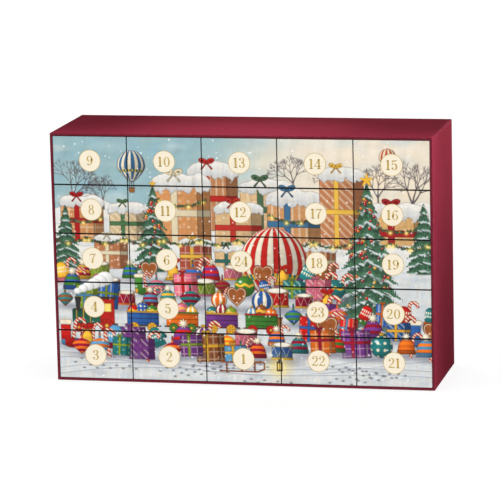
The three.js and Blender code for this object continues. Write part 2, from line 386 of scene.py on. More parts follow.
# Printed picture. The fronts of the drawers are cut from one printed sheet of white-lined card, and
# together they show a snowy country full of parcels and toys. It is painted here as one sheet, in
# millimetres from its lower left corner, with soft edges and thin ink lines.
print_pitch = 0.4
picture_width = 396.0
picture_height = 258.0
sheet_x, sheet_z = (place[..., None] for place in np.meshgrid(
    np.arange(0, picture_width, print_pitch, dtype=np.float32),
    np.arange(0, picture_height, print_pitch, dtype=np.float32)))
picture = np.zeros(sheet_x.shape[:2] + (3,))
SNOW, SHADE, INK, CREAM, RED, GOLD, PINE, TIN = np.array((
    (0.925, 0.910, 0.875), (0.765, 0.768, 0.765), (0.20, 0.14, 0.12), (0.94, 0.89, 0.78),
    (0.78, 0.14, 0.11), (0.92, 0.70, 0.23), (0.20, 0.31, 0.23), (0.21, 0.20, 0.21)))
toy_colours = np.array((
    (0.78, 0.13, 0.11), (0.90, 0.42, 0.12), (0.19, 0.36, 0.62), (0.44, 0.22, 0.50),
    (0.26, 0.48, 0.20), (0.84, 0.42, 0.50), (0.16, 0.46, 0.46), (0.92, 0.68, 0.20),
    (0.58, 0.09, 0.20), (0.34, 0.57, 0.73), (0.52, 0.62, 0.18), (0.56, 0.31, 0.17)))


def patch(middle, level, reach, rise=0):
    """Part of the picture within reach of a place, and its points measured from that place."""
    across, up = (
        slice(max(0, int((place - far) / print_pitch)), max(1, int((place + far) / print_pitch) + 1))
        for place, far in ((middle, reach), (level, rise or reach)))
    return picture[up, across], sheet_x[up, across] - middle, sheet_z[up, across] - level


def eased(colour, other, share):
    """Colour where the share is 0, running evenly to the other where it is 1."""
    return np.asarray(colour) * (1 - share) + np.asarray(other) * share


def lay(view, distance, colour, edge=0.5, ink=0.5, cover=1.0):
    """Paints colour where the distance to an outline is below zero, with a soft edge and a thin
    line of ink on it."""
    line = ink * np.exp(-(((distance + 0.15) / 0.42) ** 2))
    view[:] = eased(view, eased(colour, INK, line), cover * np.clip(0.5 - distance / edge, 0, 1))


def turned(x, z, angle):
    """Places read along axes that are turned anticlockwise by the angle."""
    return x * np.cos(angle) + z * np.sin(angle), z * np.cos(angle) - x * np.sin(angle)


def oval(x, z, half_width, half_height=0):
    """Distance to an oval around zero, or a circle: its scaled radius less one, times its smaller
    half size."""
    half_height = half_height or half_width
    return (np.hypot(x / half_width, z / half_height) - 1) * min(half_width, half_height)


def slab(x, z, half_width, half_height, corner=1.0):
    """Distance to a rectangle around zero with round corners."""
    over_x = abs(x) - half_width + corner
    over_z = abs(z) - half_height + corner
    outside = np.hypot(np.maximum(over_x, 0), np.maximum(over_z, 0))
    return outside + np.minimum(np.maximum(over_x, over_z), 0) - corner


def common(*distances):
    """Distance to what several outlines have in common: the largest of theirs."""
    return np.maximum.reduce(distances)


def stroke(x, z, ends, widths):
    """Distance to a line through the ends, whose half width runs evenly between the widths."""
    nearest = np.full(x.shape, 1e3)
    for (x0, z0), (x1, z1), w0, w1 in zip(ends, ends[1:], widths, widths[1:]):
        run_x, run_z = x1 - x0, z1 - z0
        share = np.clip(((x - x0) * run_x + (z - z0) * run_z) / (run_x ** 2 + run_z ** 2), 0, 1)
        gap = np.hypot(x - x0 - share * run_x, z - z0 - share * run_z) - (w0 + share * (w1 - w0))
        nearest = np.minimum(nearest, gap)
    return nearest


def ripple(x, seed, longest=60.0, waves=5):
    """Smooth uneven line between about -1 and 1: a sum of sines whose lengths shrink by a third."""
    starts = np.random.default_rng(seed).uniform(0, 6.3, waves)
    return sum(0.6 ** step * np.sin(6.28 * x / (longest * 0.64 ** step) + start)
               for step, start in enumerate(starts)) / 2


def mottle(x, z, seed, longest=60.0):
    """Smooth uneven tone over the sheet: two products of two ripples in turned directions, added."""
    first = ripple(x + 0.6 * z, seed, longest, 3) * ripple(z - 0.7 * x, seed + 1, longest, 3)
    return 0.6 * (first + ripple(x - z, seed + 2, longest, 3) * ripple(0.8 * x + z, seed + 3, longest, 3))


def washed(x, z, seed, colour, strength=0.16, longest=18.0):
    """Colour that runs lighter, darker and slightly warmer or colder, like a water colour."""
    tone = 1 + strength * (mottle(x, z, seed, longest) + 0.5 * mottle(x, z, seed + 7, longest / 4))
    return colour * (tone + mottle(x, z, seed + 13, longest * 1.7) * (0.05, 0.0, -0.06))


def shaded(x, z, size):
    """Tone of a ball lit from the upper left: brighter there and darker at the lower right."""
    return 1.12 - 0.50 * np.clip(np.hypot(x / size + 0.35, z / size - 0.35) / 1.5, 0, 1) ** 1.5


def paint_hill(crest, height, seed, longest):
    """Snow slope below an uneven crest line: white at the crest, then bluish, with grey hollows."""
    view, x, z = patch(0, 0, 400)
    edge = crest + height * ripple(x, seed, longest)
    hollow = 0.55 * np.clip(mottle(x, z * 2.2, seed + 5, 55) * 1.8, 0, 1)
    colour = eased(eased(SNOW, (0.80, 0.83, 0.86), np.clip((edge - z) / 45, 0, 1)), SHADE, hollow)
    lay(view, z - edge, washed(x, z, seed, colour, 0.05), edge=0.8, ink=0.25)


def paint_snow_on(view, x, z, half, seed, depth):
    """Snow lying on a flat top: a round-ended cap with an uneven, drooping lower edge."""
    upper = depth * np.clip(1 - (x / half) ** 4, 0, 1) ** 0.5 * (1 + 0.18 * ripple(x, seed + 2, 40))
    lower = -depth * (0.40 + 0.42 * ripple(x, seed, 15) * (0.6 + 0.4 * ripple(x, seed + 1, 9)))
    tone = np.clip((z - lower) / (1.2 * depth) + 0.25 * mottle(x, z, seed, 16), 0, 1)
    lay(view, common(z - upper, lower - z, abs(x) - half),
        washed(x, z, seed, eased(SHADE, SNOW, tone), 0.05, 10), ink=0.45)


def paint_bow(view, x, z, size, colour):
    """Bow of two loops, two tails and a knot."""
    for side in (-1, 1):
        tail = stroke(x, z, [(0, 0), (side * size * 1.1, -size * 1.3)], [0.5, size * 0.22])
        lay(view, tail, colour * 0.85)
        a, b = x * 0.85 + side * (z * 0.5 - size * 0.9), z * 0.9 - 0.2 - 0.4 * side * x
        lay(view, oval(a, b, size, size * 0.6), colour)
        hollow = oval(x - side * size * 0.95, z - 0.4 * size, size * 0.35, size * 0.2)
        lay(view, hollow, colour * 0.6, ink=0)
    lay(view, oval(x, z, size * 0.42), colour * 0.85)


def paint_parcel(view, x, z, width, height, colour, ribbon, seed, lean=0.0, snow=0.0):
    """Parcel in patterned paper, seen a little from its right, with a crossed ribbon and a bow."""
    across, up = turned(x, z, lean)
    colour, ribbon = np.asarray(colour), np.asarray(ribbon)
    a, b = ((place + 60) / (0.75 + 0.012 * width) for place in (across, up))
    mark = (np.sin(a * 2 * np.pi / 5.0) > 0.5,
            np.hypot(a % 6 - 3, (b + 3 * (a // 6 % 2)) % 6 - 3) < 1.0,
            np.sin((a + b) * 2 * np.pi / 6.5) > 0.5,
            (a % 7 < 1.1) | (b % 7 < 1.1),
            (abs(a % 6 - 3) + abs(b % 6 - 3) < 1.3) | (np.hypot(a % 6, b % 6) < 0.6))[seed % 5]
    side = across > width * 0.27
    tone = np.where(side, 0.70, 0.97 - 0.12 * across / width)
    paper = np.where(mark & ~(side & (seed % 2 == 0)), colour * 0.52 + 0.48 * CREAM, colour)
    body = slab(across, up, width / 2, height / 2, 0.9)
    lay(view, body, washed(across, up, seed, paper * tone, 0.14, 14), ink=0.65)
    band = max(1.0, width * 0.06)
    for strip in (across + width * 0.12, up - height * 0.06):
        lay(view, common(body + 0.2, abs(strip) - band), ribbon * tone)
    lay(view, common(body, abs(across - width * 0.27) - 0.3), colour * 0.45, ink=0, cover=0.7)
    if snow:
        paint_snow_on(view, x, z - height / 2, width / 2 + 1.5, seed, snow)
    paint_bow(view, x + width * 0.12 + lean * height / 2, z - height / 2 - (0.9 * snow or 0.6),
              max(band * 1.5, 1.7), ribbon)


def stand_parcels(parcels):
    """Paints parcels one before the other: middle, foot, width, height, colours, seed and snow."""
    for middle, low, width, height, colour, ribbon, seed, snow in parcels:
        spot = patch(middle, low + height / 2, 0.75 * max(width, height) + 10)
        paint_parcel(*spot, width, height, colour, ribbon, seed, 0.0, snow)


def paint_glow(middle, level, size, strength):
    """Round yellow glow of a lamp."""
    view, x, z = patch(middle, level, 2.2 * size)
    for reach, colour in ((size, (1.0, 0.84, 0.33)), (0.42 * size, (1.0, 0.97, 0.82))):
        view[:] = eased(view, colour, strength * np.exp(-(x ** 2 + z ** 2) / reach ** 2))


def paint_swag(left, right, level, sag, seed):
    """Garland of fir twigs that hangs in a bow between two points, with berries and lamps."""
    rows = np.random.default_rng(seed)
    count = int((right - left) / 1.3)
    for step, share in enumerate(np.linspace(0, 1, count)):
        hang = level - 4 * sag * share * (1 - share)
        spot, x, z = patch(left + (right - left) * share, hang + rows.uniform(-0.8, 0.8), 4)
        twig = oval(*turned(x, z, rows.uniform(0, np.pi)), 2.1, 0.75)
        lay(spot, twig, PINE * rows.uniform(0.7, 1.7), ink=0.3)
        if step % 5 == 2:
            lay(spot, oval(x, z, 0.95), RED if step % 2 else GOLD)
    for share in np.linspace(0.06, 0.94, max(2, count // 9)):
        paint_glow(left + (right - left) * share, level - 4 * sag * share * (1 - share) - 1.2, 2.3, 0.9)


def paint_fir(middle, base, height, width, seed, tiers=9, dressed=True):
    """Fir of drooping boughs with ragged tips and fine needles, and snow along them. A dressed one
    has baubles and a five-pointed star."""
    view, x, z = patch(middle, base + height / 2, width * 0.7, height * 0.62)
    z = z + height / 2
    up = z / height
    lay(view, slab(x, z, width * 0.045, height * 0.08, 0.5), (0.34, 0.23, 0.16))
    phase = (up + 0.13 * (abs(x) * 2 / width) ** 1.2 + 0.012 * ripple(x, seed, 24)) * tiers % 1.0
    tips = 0.12 * abs(np.sin(x * 2 * np.pi / 4.6 + seed)) + 0.10 * ripple(x + 2 * z, seed, 9)
    half = width / 2 * np.clip(1 - up, 0, 1) ** 0.88 * (1 - 0.38 * phase) + 0.6
    distance = common(abs(x) - half * (1 - tips), z - height, -z)
    stir = 2.5 * ripple(x + 1.7 * z, seed, 11) + 2.0 * ripple(z - 0.4 * x, seed + 1, 7)
    needles = np.sin(x * 3.3 + np.sign(x) * z * 1.6 + stir)
    needles = needles * np.clip(0.4 + ripple(x - z, seed + 2, 10), 0, 1)
    green = PINE * (1 + 0.5 * mottle(x, z, seed, 14) + 0.45 * needles) * (1.37 - 0.75 * phase)
    green = green + (0.02, 0.03, 0.03) + 0.10 * np.clip(mottle(x, z * 2, seed + 3, 9), 0, 1)
    lay(view, distance, green, edge=0.7, ink=0.4)
    drift = np.clip(1.5 - 6.0 * abs(phase - 0.90 - 0.10 * ripple(x, seed + 9, 9)), 0, 1)
    drift = drift * np.clip(1.2 + 2.2 * ripple(x + 2.3 * z, seed + 4, 13), 0, 1)
    view[:] = eased(view, (0.86, 0.89, 0.90), 0.88 * drift * np.clip(-distance / 0.6, 0, 1))
    if dressed:
        rows = np.random.default_rng(seed)
        for step in range(int(height * 0.42)):
            up, off, size = rows.uniform((0.03, -0.42, 1.0), (0.9, 0.42, 2.0))
            spot, x, z = patch(middle + off * width * (1 - up), base + up * height, 3)
            lay(spot, oval(x, z, size), toy_colours[(0, 8, 7, 0, 1)[step % 5]])
            lay(spot, oval(x + size * 0.35, z - size * 0.35, size * 0.3), (1, 0.93, 0.8), ink=0)
        size = height * 0.04
        view, x, z = patch(middle, base + height * 1.02, 2 * size)
        point = abs(np.arctan2(x, z) / (0.4 * np.pi) % 1 - 0.5) * 2
        lay(view, np.hypot(x, z) - size * (0.45 + 0.75 * point ** 1.6), GOLD * (0.9 + 0.2 * point))


def paint_balloon(middle, level, size, stripe, ground, gores):
    """Hot-air balloon: stripes follow the curved gores of the bag, and a wicker basket hangs below."""
    view, x, z = patch(middle, level, 1.9 * size)
    u, v = x / size, z / size
    half = np.sqrt(np.clip(1 - (v / 1.12) ** 2, 0, 1)) * (1 - 0.42 * np.clip(-v, 0, 1.15) ** 1.4)
    half = np.where(v < -0.2, np.maximum(half, 0.20 * np.clip(1.25 + v, 0, 1)), half)
    turn = gores * (np.arcsin(np.clip(u / np.maximum(half, 1e-3), -1, 1)) / np.pi + 0.5)
    tone = 1.06 - 0.38 * np.clip(0.5 + 0.5 * u - 0.28 * v, 0, 1) - 0.22 * abs(2 * (turn % 1) - 1) ** 8
    trim = np.where(np.sin(turn * 2 * np.pi) > 0.2, GOLD, toy_colours[6])
    colour = np.where(turn // 1 % 2 == 0, stripe, ground)
    colour = np.where(abs(v + 0.28 + 0.10 * u ** 2) < 0.085, trim, colour)
    bag = size * common(abs(u) - half, abs(v) - 1.12)
    lay(view, bag, washed(x, z, gores, colour * tone, 0.14, 20), ink=0.6)
    for end in (-0.16, 0.0, 0.16):
        rope = stroke(x, z, [(end * size * 0.9, -1.08 * size), (end * size, -1.5 * size)], [0.25] * 2)
        lay(view, rope, INK, ink=0)
    weave = 0.85 + 0.18 * np.sin(x * np.pi) * np.sin(z * np.pi)
    lay(view, slab(x, z + 1.66 * size, 0.21 * size, 0.17 * size, 1.2), weave * (0.68, 0.45, 0.24))
    lay(view, slab(x, z + 1.50 * size, 0.23 * size, 0.03 * size, 0.4), (0.48, 0.28, 0.15))


def paint_bare_tree(foot, base, height, seed):
    """Leafless tree: each bough splits in two or three shorter and thinner ones."""
    rows = np.random.default_rng(seed)
    boughs = [(foot, base, rows.uniform(-0.1, 0.1), height * 0.30, height * 0.022, 5)]
    while boughs:
        x0, z0, heading, length, thick, depth = boughs.pop()
        bend = heading + rows.uniform(-0.2, 0.2)
        x1, z1 = 0.5 * length * np.sin(heading), 0.5 * length * np.cos(heading)
        x2, z2 = x1 + 0.5 * length * np.sin(bend), z1 + 0.5 * length * np.cos(bend)
        view, x, z = patch(x0, z0, length + 2)
        line = stroke(x, z, [(0, 0), (x1, z1), (x2, z2)], [thick, thick * 0.8, thick * 0.6])
        lay(view, line, (0.34, 0.31, 0.32), ink=0, cover=0.9)
        for spread in (-0.6, 0.05, 0.6)[: (0, 3, 2, 3, 3, 3)[depth]]:
            boughs.append((x0 + x2, z0 + z2, bend + spread * rows.uniform(0.6, 1.2),
                           length * rows.uniform(0.6, 0.8), max(thick * 0.58, 0.16), depth - 1))


# Toys. Each is drawn by a function of its own on a patch around its middle. All take the same values:
# about half the toy's height as its size, two colours and a whole number that tells its kind, though
# not every toy uses them all.
def paint_small_parcel(view, x, z, size, colour, second, kind):
    """Parcel without snow, as one of a heap of toys."""
    height = size * (2.5 - 0.3 * (kind % 3))
    paint_parcel(view, x, z + size - height / 2, size * (1.9 + 0.25 * kind), height, colour, second,
                 kind, 0.05 * (kind - 2))


def paint_bauble(view, x, z, size, colour, second, kind):
    """Round tree ornament with a cap, and a band, dots, zigzag or ribs painted on it."""
    u, v = x / size, z / size
    around = np.arcsin(np.clip(u / np.sqrt(np.maximum(1 - v ** 2, 0.01)), -1, 1))
    mark = (abs(v + 0.1 * np.sin(5 * u)) < 0.22,
            np.hypot(u % 0.62 - 0.31, v % 0.62 - 0.31) < 0.1364,
            abs(v - 0.22 * abs(2.2 * u % 2 - 1)) < 0.13,
            np.sin(7 * around) > 0.3)[kind % 4]
    colour = np.where(mark, CREAM if kind % 2 else GOLD, colour)
    lay(view, slab(x, z - 1.08 * size, 0.2 * size, 0.16 * size, 0.3), GOLD * 0.85)
    lay(view, oval(x, z, size), washed(x, z, kind, colour * shaded(x, z, size)), ink=0.6)
    lay(view, size * oval(u + 0.42, v - 0.45, 0.17, 0.12), (1, 1, 1), ink=0, cover=0.8)


def paint_drum(view, x, z, size, colour, second, kind):
    """Toy drum: a coloured shell with zigzag cords between two hoops, and a pale skin."""
    cords = abs(z - size * (1.1 * abs(2.4 * x / size % 2 - 1) - 0.55)) < 0.5
    tone = 0.85 - 0.2 * x / size
    lay(view, slab(x, z, 1.05 * size, 0.75 * size, 0.8), np.where(cords, CREAM, colour) * tone, ink=0.6)
    hoops = tone * (GOLD if kind % 2 else second)
    for level in (-0.68, 0.62):
        lay(view, slab(x, z - size * level, 1.05 * size + 0.5, size * 0.12, 0.6), hoops)
    skin = oval(x, z - 0.75 * size, 1.05 * size, size * 0.26)
    lay(view, skin, washed(x, z, kind, (0.94, 0.91, 0.84)), ink=0.6)


def paint_bell(view, x, z, size, colour, second, kind):
    """Hand bell with a flared rim, and a bow on top."""
    u, v = x / size, z / size
    half = 0.42 + 0.5 * np.clip(-v, 0, 1) ** 2 + 0.18 * np.clip(0.8 - v, 0, 1)
    body = size * common(abs(u) - half, -v - 0.9, np.hypot(u, np.maximum(v, 0)) - 1)
    lay(view, oval(x, z + 0.95 * size, 0.2 * size), (0.35, 0.22, 0.1))
    lay(view, body, washed(x, z, kind, GOLD * shaded(x, z, size)), ink=0.6)
    lay(view, common(body, abs(z + 0.55 * size) - 0.06 * size), (0.62, 0.40, 0.12), ink=0)
    paint_bow(view, x, z - 1.02 * size, 0.42 * size, RED)


def paint_top(view, x, z, size, colour, second, kind):
    """Spinning top: a ringed turnip shape on a point, with a stem."""
    up = z / size + 1
    half = np.interp(
        up, (0, 0.1, 0.75, 1.0, 1.35, 1.55, 1.6, 2.3), (0.02, 0.12, 0.85, 1.0, 0.72, 0.35, 0.12, 0.08))
    rings = (up + 0.12 * (x / size) ** 2) / 0.27 // 1 % 2 == 0
    lay(view, size * common(abs(x) / size - half, -up, up - 2.3),
        washed(x, z + size, kind, np.where(rings, colour, second) * shaded(x, z, size)), ink=0.6)


def paint_heart(view, x, z, size, colour, second, kind):
    """Gingerbread heart with a piped edge and dots of icing."""
    u, v = abs(x) / size, z / size
    shape = size * (np.hypot(u, 1.15 * v - 0.75 * np.sqrt(u)) - 0.95)
    lay(view, shape, washed(x, z, kind, (0.60, 0.34, 0.18), 0.25), ink=0.7)
    dots = size * np.minimum(np.hypot(u - 0.3, v - 0.1), np.hypot(u, v + 0.3)) - 0.9
    lay(view, np.minimum(abs(shape + 0.14 * size) - 0.28, dots), (0.95, 0.90, 0.84), ink=0)


def paint_mitten(view, x, z, size, colour, second, kind):
    """Knitted mitten with a ribbed cuff and two rows of cream stitches."""
    x, z = turned(x, z, 0.3 * (kind - 1.5))
    u, v = x / size, z / size
    palm = size * slab(u, v - 0.15, 0.6, 0.95, 0.55)
    thumb = size * oval(0.8 * (u - 0.66) + 0.5 * v, 0.8 * v - 0.5 * (u - 0.66), 0.26, 0.55)
    knit = (1 + 0.14 * np.sin(z * 2 * np.pi / 1.3) * np.sin(x * 2 * np.pi / 1.3)) * shaded(x, z, size)
    lay(view, np.minimum(palm, thumb), colour * knit, ink=0.6)
    for row in (0.05, 0.45):
        stitches = (abs(v - row) < 0.12) & (abs(u / 0.24 % 1 - 0.5) > 0.2)
        lay(view, np.where(stitches, palm + 0.3, 1.0), CREAM * knit, ink=0)
    ribs = second * (0.9 + 0.12 * np.sin(x * 2 * np.pi / 1.2))
    lay(view, slab(x, z + 0.85 * size, 0.66 * size, 0.26 * size, 0.6), ribs, ink=0.6)


def paint_hat(view, x, z, size, colour, second, kind):
    """Knitted bobble hat with bands, a turned-up brim and a woolly ball."""
    knit = (1 + 0.12 * np.sin(x * 2 * np.pi / 1.5)) * shaded(x, z, size)
    bands = (z / size + 0.10 * (x / size) ** 2) / 0.30 // 1 % 2 == 0
    dome = common(oval(x, z + 0.35 * size, 0.95 * size, 1.35 * size), -0.4 * size - z)
    lay(view, dome, np.where(bands, colour, second) * knit, ink=0.6)
    lay(view, slab(x, z + 0.55 * size, 1.02 * size, 0.24 * size, 0.8), colour * 0.9 * knit, ink=0.6)
    z = z - 1.15 * size
    ball = size * (0.36 + 0.12 * np.sin(9 * np.arctan2(z, x)))
    lay(view, np.hypot(x, z) - ball, CREAM * shaded(x, z, 0.4 * size), ink=0.4)


def paint_stocking(view, x, z, size, colour, second, kind):
    """Stocking with a cream cuff, and a heel and a toe in another colour."""
    u, v = x / size, z / size
    leg = slab(u + 0.15, v - 0.1, 0.48, 1.15, 0.3)
    foot = oval(u - 0.3 + 0.3 * v, v + 0.85 - 0.1 * u, 0.95, 0.48)
    ends = (u < -0.25) & (v < -0.5) | (u > 0.72)
    colour = np.where(ends, second, colour) * shaded(x, z, 1.3 * size)
    lay(view, size * np.minimum(leg, foot), washed(x, z, kind, colour), ink=0.6)
    lay(view, size * slab(u + 0.15, v - 1.15, 0.62, 0.26, 0.24), washed(x, z, kind, CREAM), ink=0.6)


def paint_cane(middle, level, size, lean):
    """Sugar cane: a bent stick with slanting stripes."""
    view, x, z = patch(middle, level, 2.6 * size)
    turn = np.linspace(np.pi, 0.0, 7)
    up = size * np.append(-1.6, 0.9 + 0.5 * np.sin(turn))
    path = np.stack((size * np.append(-0.4, 0.1 + 0.5 * np.cos(turn)) + lean * up, up), axis=1)
    stripes = np.sin((x + 1.3 * z) * 2 * np.pi / (0.55 * size)) > 0.0
    lay(view, stroke(x, z, path, [0.21 * size] * 8), np.where(stripes, RED, CREAM), ink=0.6)


def paint_wheel(view, x, z, size, rim, spoke, pairs):
    """Spoked wheel with a gold hub."""
    lay(view, oval(x, z, size), rim, ink=0.7)
    spokes = abs(np.sin(pairs * np.arctan2(z, x))) < 0.25
    lay(view, np.where(spokes, oval(x, z, size * 0.8), 1.0), spoke, ink=0)
    lay(view, oval(x, z, size * 0.3), GOLD)


def paint_wagon(middle, base, width, colour, trim, seed):
    """Wagon of a wooden train: a painted box with slats, on two wheels."""
    view, x, z = patch(middle, base, width * 1.2)
    tall = width * 0.42
    tone = 0.945 - 0.324 * (abs(z / (tall * 0.33) % 1 - 0.5) > 0.42) - 0.27 * x / width
    load = slab(x, z - width * 0.41, width / 2, tall / 2, 1.0)
    lay(view, load, washed(x, z, seed, colour * tone), ink=0.6)
    lay(view, slab(x, z - width * 0.62, width / 2 + 0.8, 0.9, 0.5), trim)
    lay(view, slab(x, z - width * 0.19, width / 2 + 2.2, 0.8, 0.5), (0.33, 0.22, 0.16))
    for side in (-0.28, 0.28):
        paint_wheel(view, x - side * width, z - width * 0.15, width * 0.15, trim, (0.4, 0.2, 0.14), 3)


def paint_engine(middle, base, width):
    """Wooden engine: boiler, cab with a lit window, chimney with steam, and three wheels."""
    view, x, z = patch(middle, base, width * 1.3)
    u, v = x / width, z / width
    tone = 1.2 - 0.5 * np.clip((v - 0.25) / 0.35, 0, 1)
    lay(view, width * slab(u + 0.16, v - 0.38, 0.36, 0.17, 0.055), tone * (0.14, 0.33, 0.27), ink=0.6)
    for ring in (-0.42, -0.26, -0.10):
        lay(view, width * slab(u - ring, v - 0.38, 0.015, 0.175, 0.01), GOLD)
    for right, up, wide, tall, colour in (
            (0.3, 0.48, 0.17, 0.30, (0.70, 0.15, 0.12)), (0.3, 0.58, 0.10, 0.10, (1.0, 0.86, 0.45)),
            (0.3, 0.80, 0.23, 0.03, (0.30, 0.20, 0.16)), (0.02, 0.19, 0.52, 0.03, (0.33, 0.22, 0.16))):
        lay(view, width * slab(u - right, v - up, wide, tall, 0.015), washed(x, z, 3, colour), ink=0.6)
    half = 0.045 + 0.035 * np.clip((v - 0.6) / 0.22, 0, 1)
    lay(view, width * common(abs(u + 0.38) - half, abs(v - 0.66) - 0.16), TIN)
    lay(view, width * oval(u + 0.13, v - 0.58, 0.06), GOLD)
    rim, spoke = (0.72, 0.16, 0.13), (0.35, 0.10, 0.09)
    for place, size in ((-0.38, 0.11), (-0.12, 0.11), (0.28, 0.16)):
        paint_wheel(view, x - place * width, z - size * width, size * width, rim, spoke, 4)
    for puff in range(5, -1, -1):
        size = width * (0.09 + 0.022 * puff)
        left, up = width * (0.38 - 0.13 * puff), width * (0.95 + 0.06 * puff)
        spot, x, z = patch(middle - left, base + up, 2 * size)
        steam = shaded(x, z, 1.6 * size) * (0.93, 0.93, 0.92)
        lay(spot, oval(x, z, size, size * 0.8), steam, edge=0.9, ink=0.2)


toys = (paint_small_parcel, paint_bauble, paint_hat, paint_drum, paint_mitten, paint_small_parcel,
        paint_top, paint_stocking, paint_bauble, paint_bell, paint_hat, paint_heart, paint_small_parcel,
        paint_mitten)


def paint_toys(lines, across, left, right, back, front, size_low, size_high, seed):
    """Crowded heap of toys in lines, painted from the back to the front, each with its shadow on
    the snow, so that each line hides the feet of the one behind."""
    rows = np.random.default_rng(seed)
    for line in range(lines):
        for column in rows.permutation(across):
            level = back + (front - back) * line / (lines - 1) + rows.uniform(-2.5, 2.5)
            middle = left + (right - left) / across * (column + 0.5 * (line % 2) + rows.uniform(0.25, 0.75))
            colours = toy_colours[rows.integers(len(toy_colours), size=2)]
            colours = colours * rows.uniform(0.90, 1.12, (2, 1))
            size = rows.uniform(size_low, size_high)
            view, x, z = patch(middle, level - size, 2.4 * size, size)
            lay(view, oval(x - 0.5 * size, z, 1.5 * size, 0.35 * size), (0.47, 0.47, 0.53), edge=0.5 * size,
                ink=0, cover=0.55)
            if rows.random() < 0.22:
                paint_cane(middle + size, level + 0.3 * size, size * 0.85, rows.uniform(-0.2, 0.2))
            toy = toys[rows.integers(len(toys))]
            toy(*patch(middle, level, 2 * size), size, *colours, int(rows.integers(4)))


# The sky is cold blue at the left and warm cream at the right, with low bands of cloud.
view, x, z = patch(0, 0, 400)
warmth = np.clip((x - 120) / 150 + 0.25 * ripple(z, 3, 90), 0, 1)
warmth = warmth * warmth * (3 - 2 * warmth)
cold = (0.585, 0.712, 0.735) + 0.11 * np.clip((200 - z) / 110, 0, 1)
warm = (0.92, 0.865, 0.77) + np.clip((z - 190) / 60, -1, 1) * (0.0, 0.01, 0.03)
cloud = 0.5 * np.clip(mottle(x * 0.5, z * 1.6, 11, 70) * 2.4 - 0.1, 0, 1)
cloudy = np.where(warmth > 0.5, (0.76, 0.82, 0.83), (0.78, 0.83, 0.82))
view[:] = washed(x, z, 15, eased(eased(cold, warm, warmth), cloudy, cloud), 0.05, 40)

# In the distance stand hills, bare trees, balloons, and large parcels under snow with garlands.
paint_hill(186, 14, 31, 170)
for foot, base, height, seed in (
        (20, 176, 60, 1), (54, 176, 46, 2), (256, 196, 50, 3), (374, 168, 78, 5), (342, 180, 58, 6),
        (292, 190, 40, 8)):
    paint_bare_tree(foot, base, height, seed)
paint_balloon(84, 226, 15, (0.24, 0.42, 0.58), CREAM, 12)
paint_balloon(352, 238, 9, (0.78, 0.34, 0.20), CREAM, 10)
paint_hill(172, 10, 37, 120)
stand_parcels((
    (170, 160, 52, 60, (0.76, 0.52, 0.36), (0.74, 0.18, 0.15), 10, 12),
    (226, 156, 56, 48, (0.84, 0.70, 0.52), (0.30, 0.41, 0.30), 18, 11),
    (30, 146, 46, 40, (0.81, 0.56, 0.36), (0.68, 0.13, 0.13), 3, 9),
    (78, 148, 38, 32, (0.80, 0.70, 0.54), (0.30, 0.45, 0.30), 7, 9),
    (136, 142, 62, 64, (0.83, 0.57, 0.36), (0.89, 0.83, 0.69), 14, 14),
    (196, 140, 50, 42, (0.82, 0.68, 0.50), (0.74, 0.21, 0.17), 16, 9),
    (254, 138, 56, 54, (0.80, 0.57, 0.38), (0.26, 0.43, 0.56), 20, 13),
    (304, 136, 46, 82, (0.73, 0.48, 0.33), (0.93, 0.73, 0.30), 22, 11),
    (362, 136, 60, 44, (0.84, 0.66, 0.43), (0.64, 0.15, 0.16), 29, 12)))
for left, right, level, sag, seed in (
        (110, 162, 192, 7, 1), (228, 280, 178, 8, 2), (334, 390, 168, 6, 3), (10, 52, 172, 5, 4)):
    paint_swag(left, right, level, sag, seed)
paint_hill(144, 6, 43, 140)
stand_parcels((
    (60, 118, 36, 30, (0.72, 0.46, 0.31), (0.90, 0.84, 0.70), 31, 6),
    (150, 116, 34, 30, (0.63, 0.29, 0.23), (0.90, 0.70, 0.28), 33, 6),
    (186, 114, 32, 26, (0.84, 0.69, 0.50), (0.20, 0.40, 0.37), 39, 6),
    (278, 114, 38, 28, (0.70, 0.43, 0.27), (0.88, 0.81, 0.66), 35, 6)))
paint_fir(12, 118, 66, 42, 4, dressed=False)
paint_fir(106, 114, 92, 54, 9)
paint_fir(388, 116, 76, 46, 8, dressed=False)
for left in range(-6, 396, 40):
    paint_swag(left, left + 40, 150, 5, left + 9)

# The trodden snow in front is colder, with hollows, runner tracks and rows of small prints.
view, x, z = patch(0, 0, 400, 132)
hollow = np.clip(mottle(x * 0.8, z * 2.6, 71, 60) * 1.7 + 0.25, 0, 1)
trodden = washed(x, z, 72, eased((0.850, 0.858, 0.853), (0.760, 0.782, 0.790), hollow), 0.07, 14)
lay(view, z - 118 - 7 * ripple(x, 70, 190), trodden, edge=1.5, ink=0.2)
for start, rise, bend in ((4, 0.05, 6), (9, 0.055, 6), (20, -0.03, 4), (24.5, -0.025, 4)):
    track = z - start - rise * x - bend * np.sin(x / 55 + start * 0.05)
    lay(view, abs(track) - 0.55, (0.62, 0.63, 0.66), edge=0.9, ink=0, cover=0.7)
    lay(view, abs(track - 0.9) - 0.25, (0.95, 0.96, 0.97), edge=0.6, ink=0, cover=0.8)
rows = np.random.default_rng(24)
for left, low, heading in rows.uniform((0, 3, -0.25), (330, 26, 0.3), (11, 3)):
    for step in range(9):
        spot, x, z = patch(left + 7 * step, low + 7 * step * heading + (-1.5, 1.5)[step % 2], 3)
        lay(spot, oval(x, z, 1.7, 0.95), (0.49, 0.51, 0.54), edge=0.8, ink=0.2, cover=0.85)

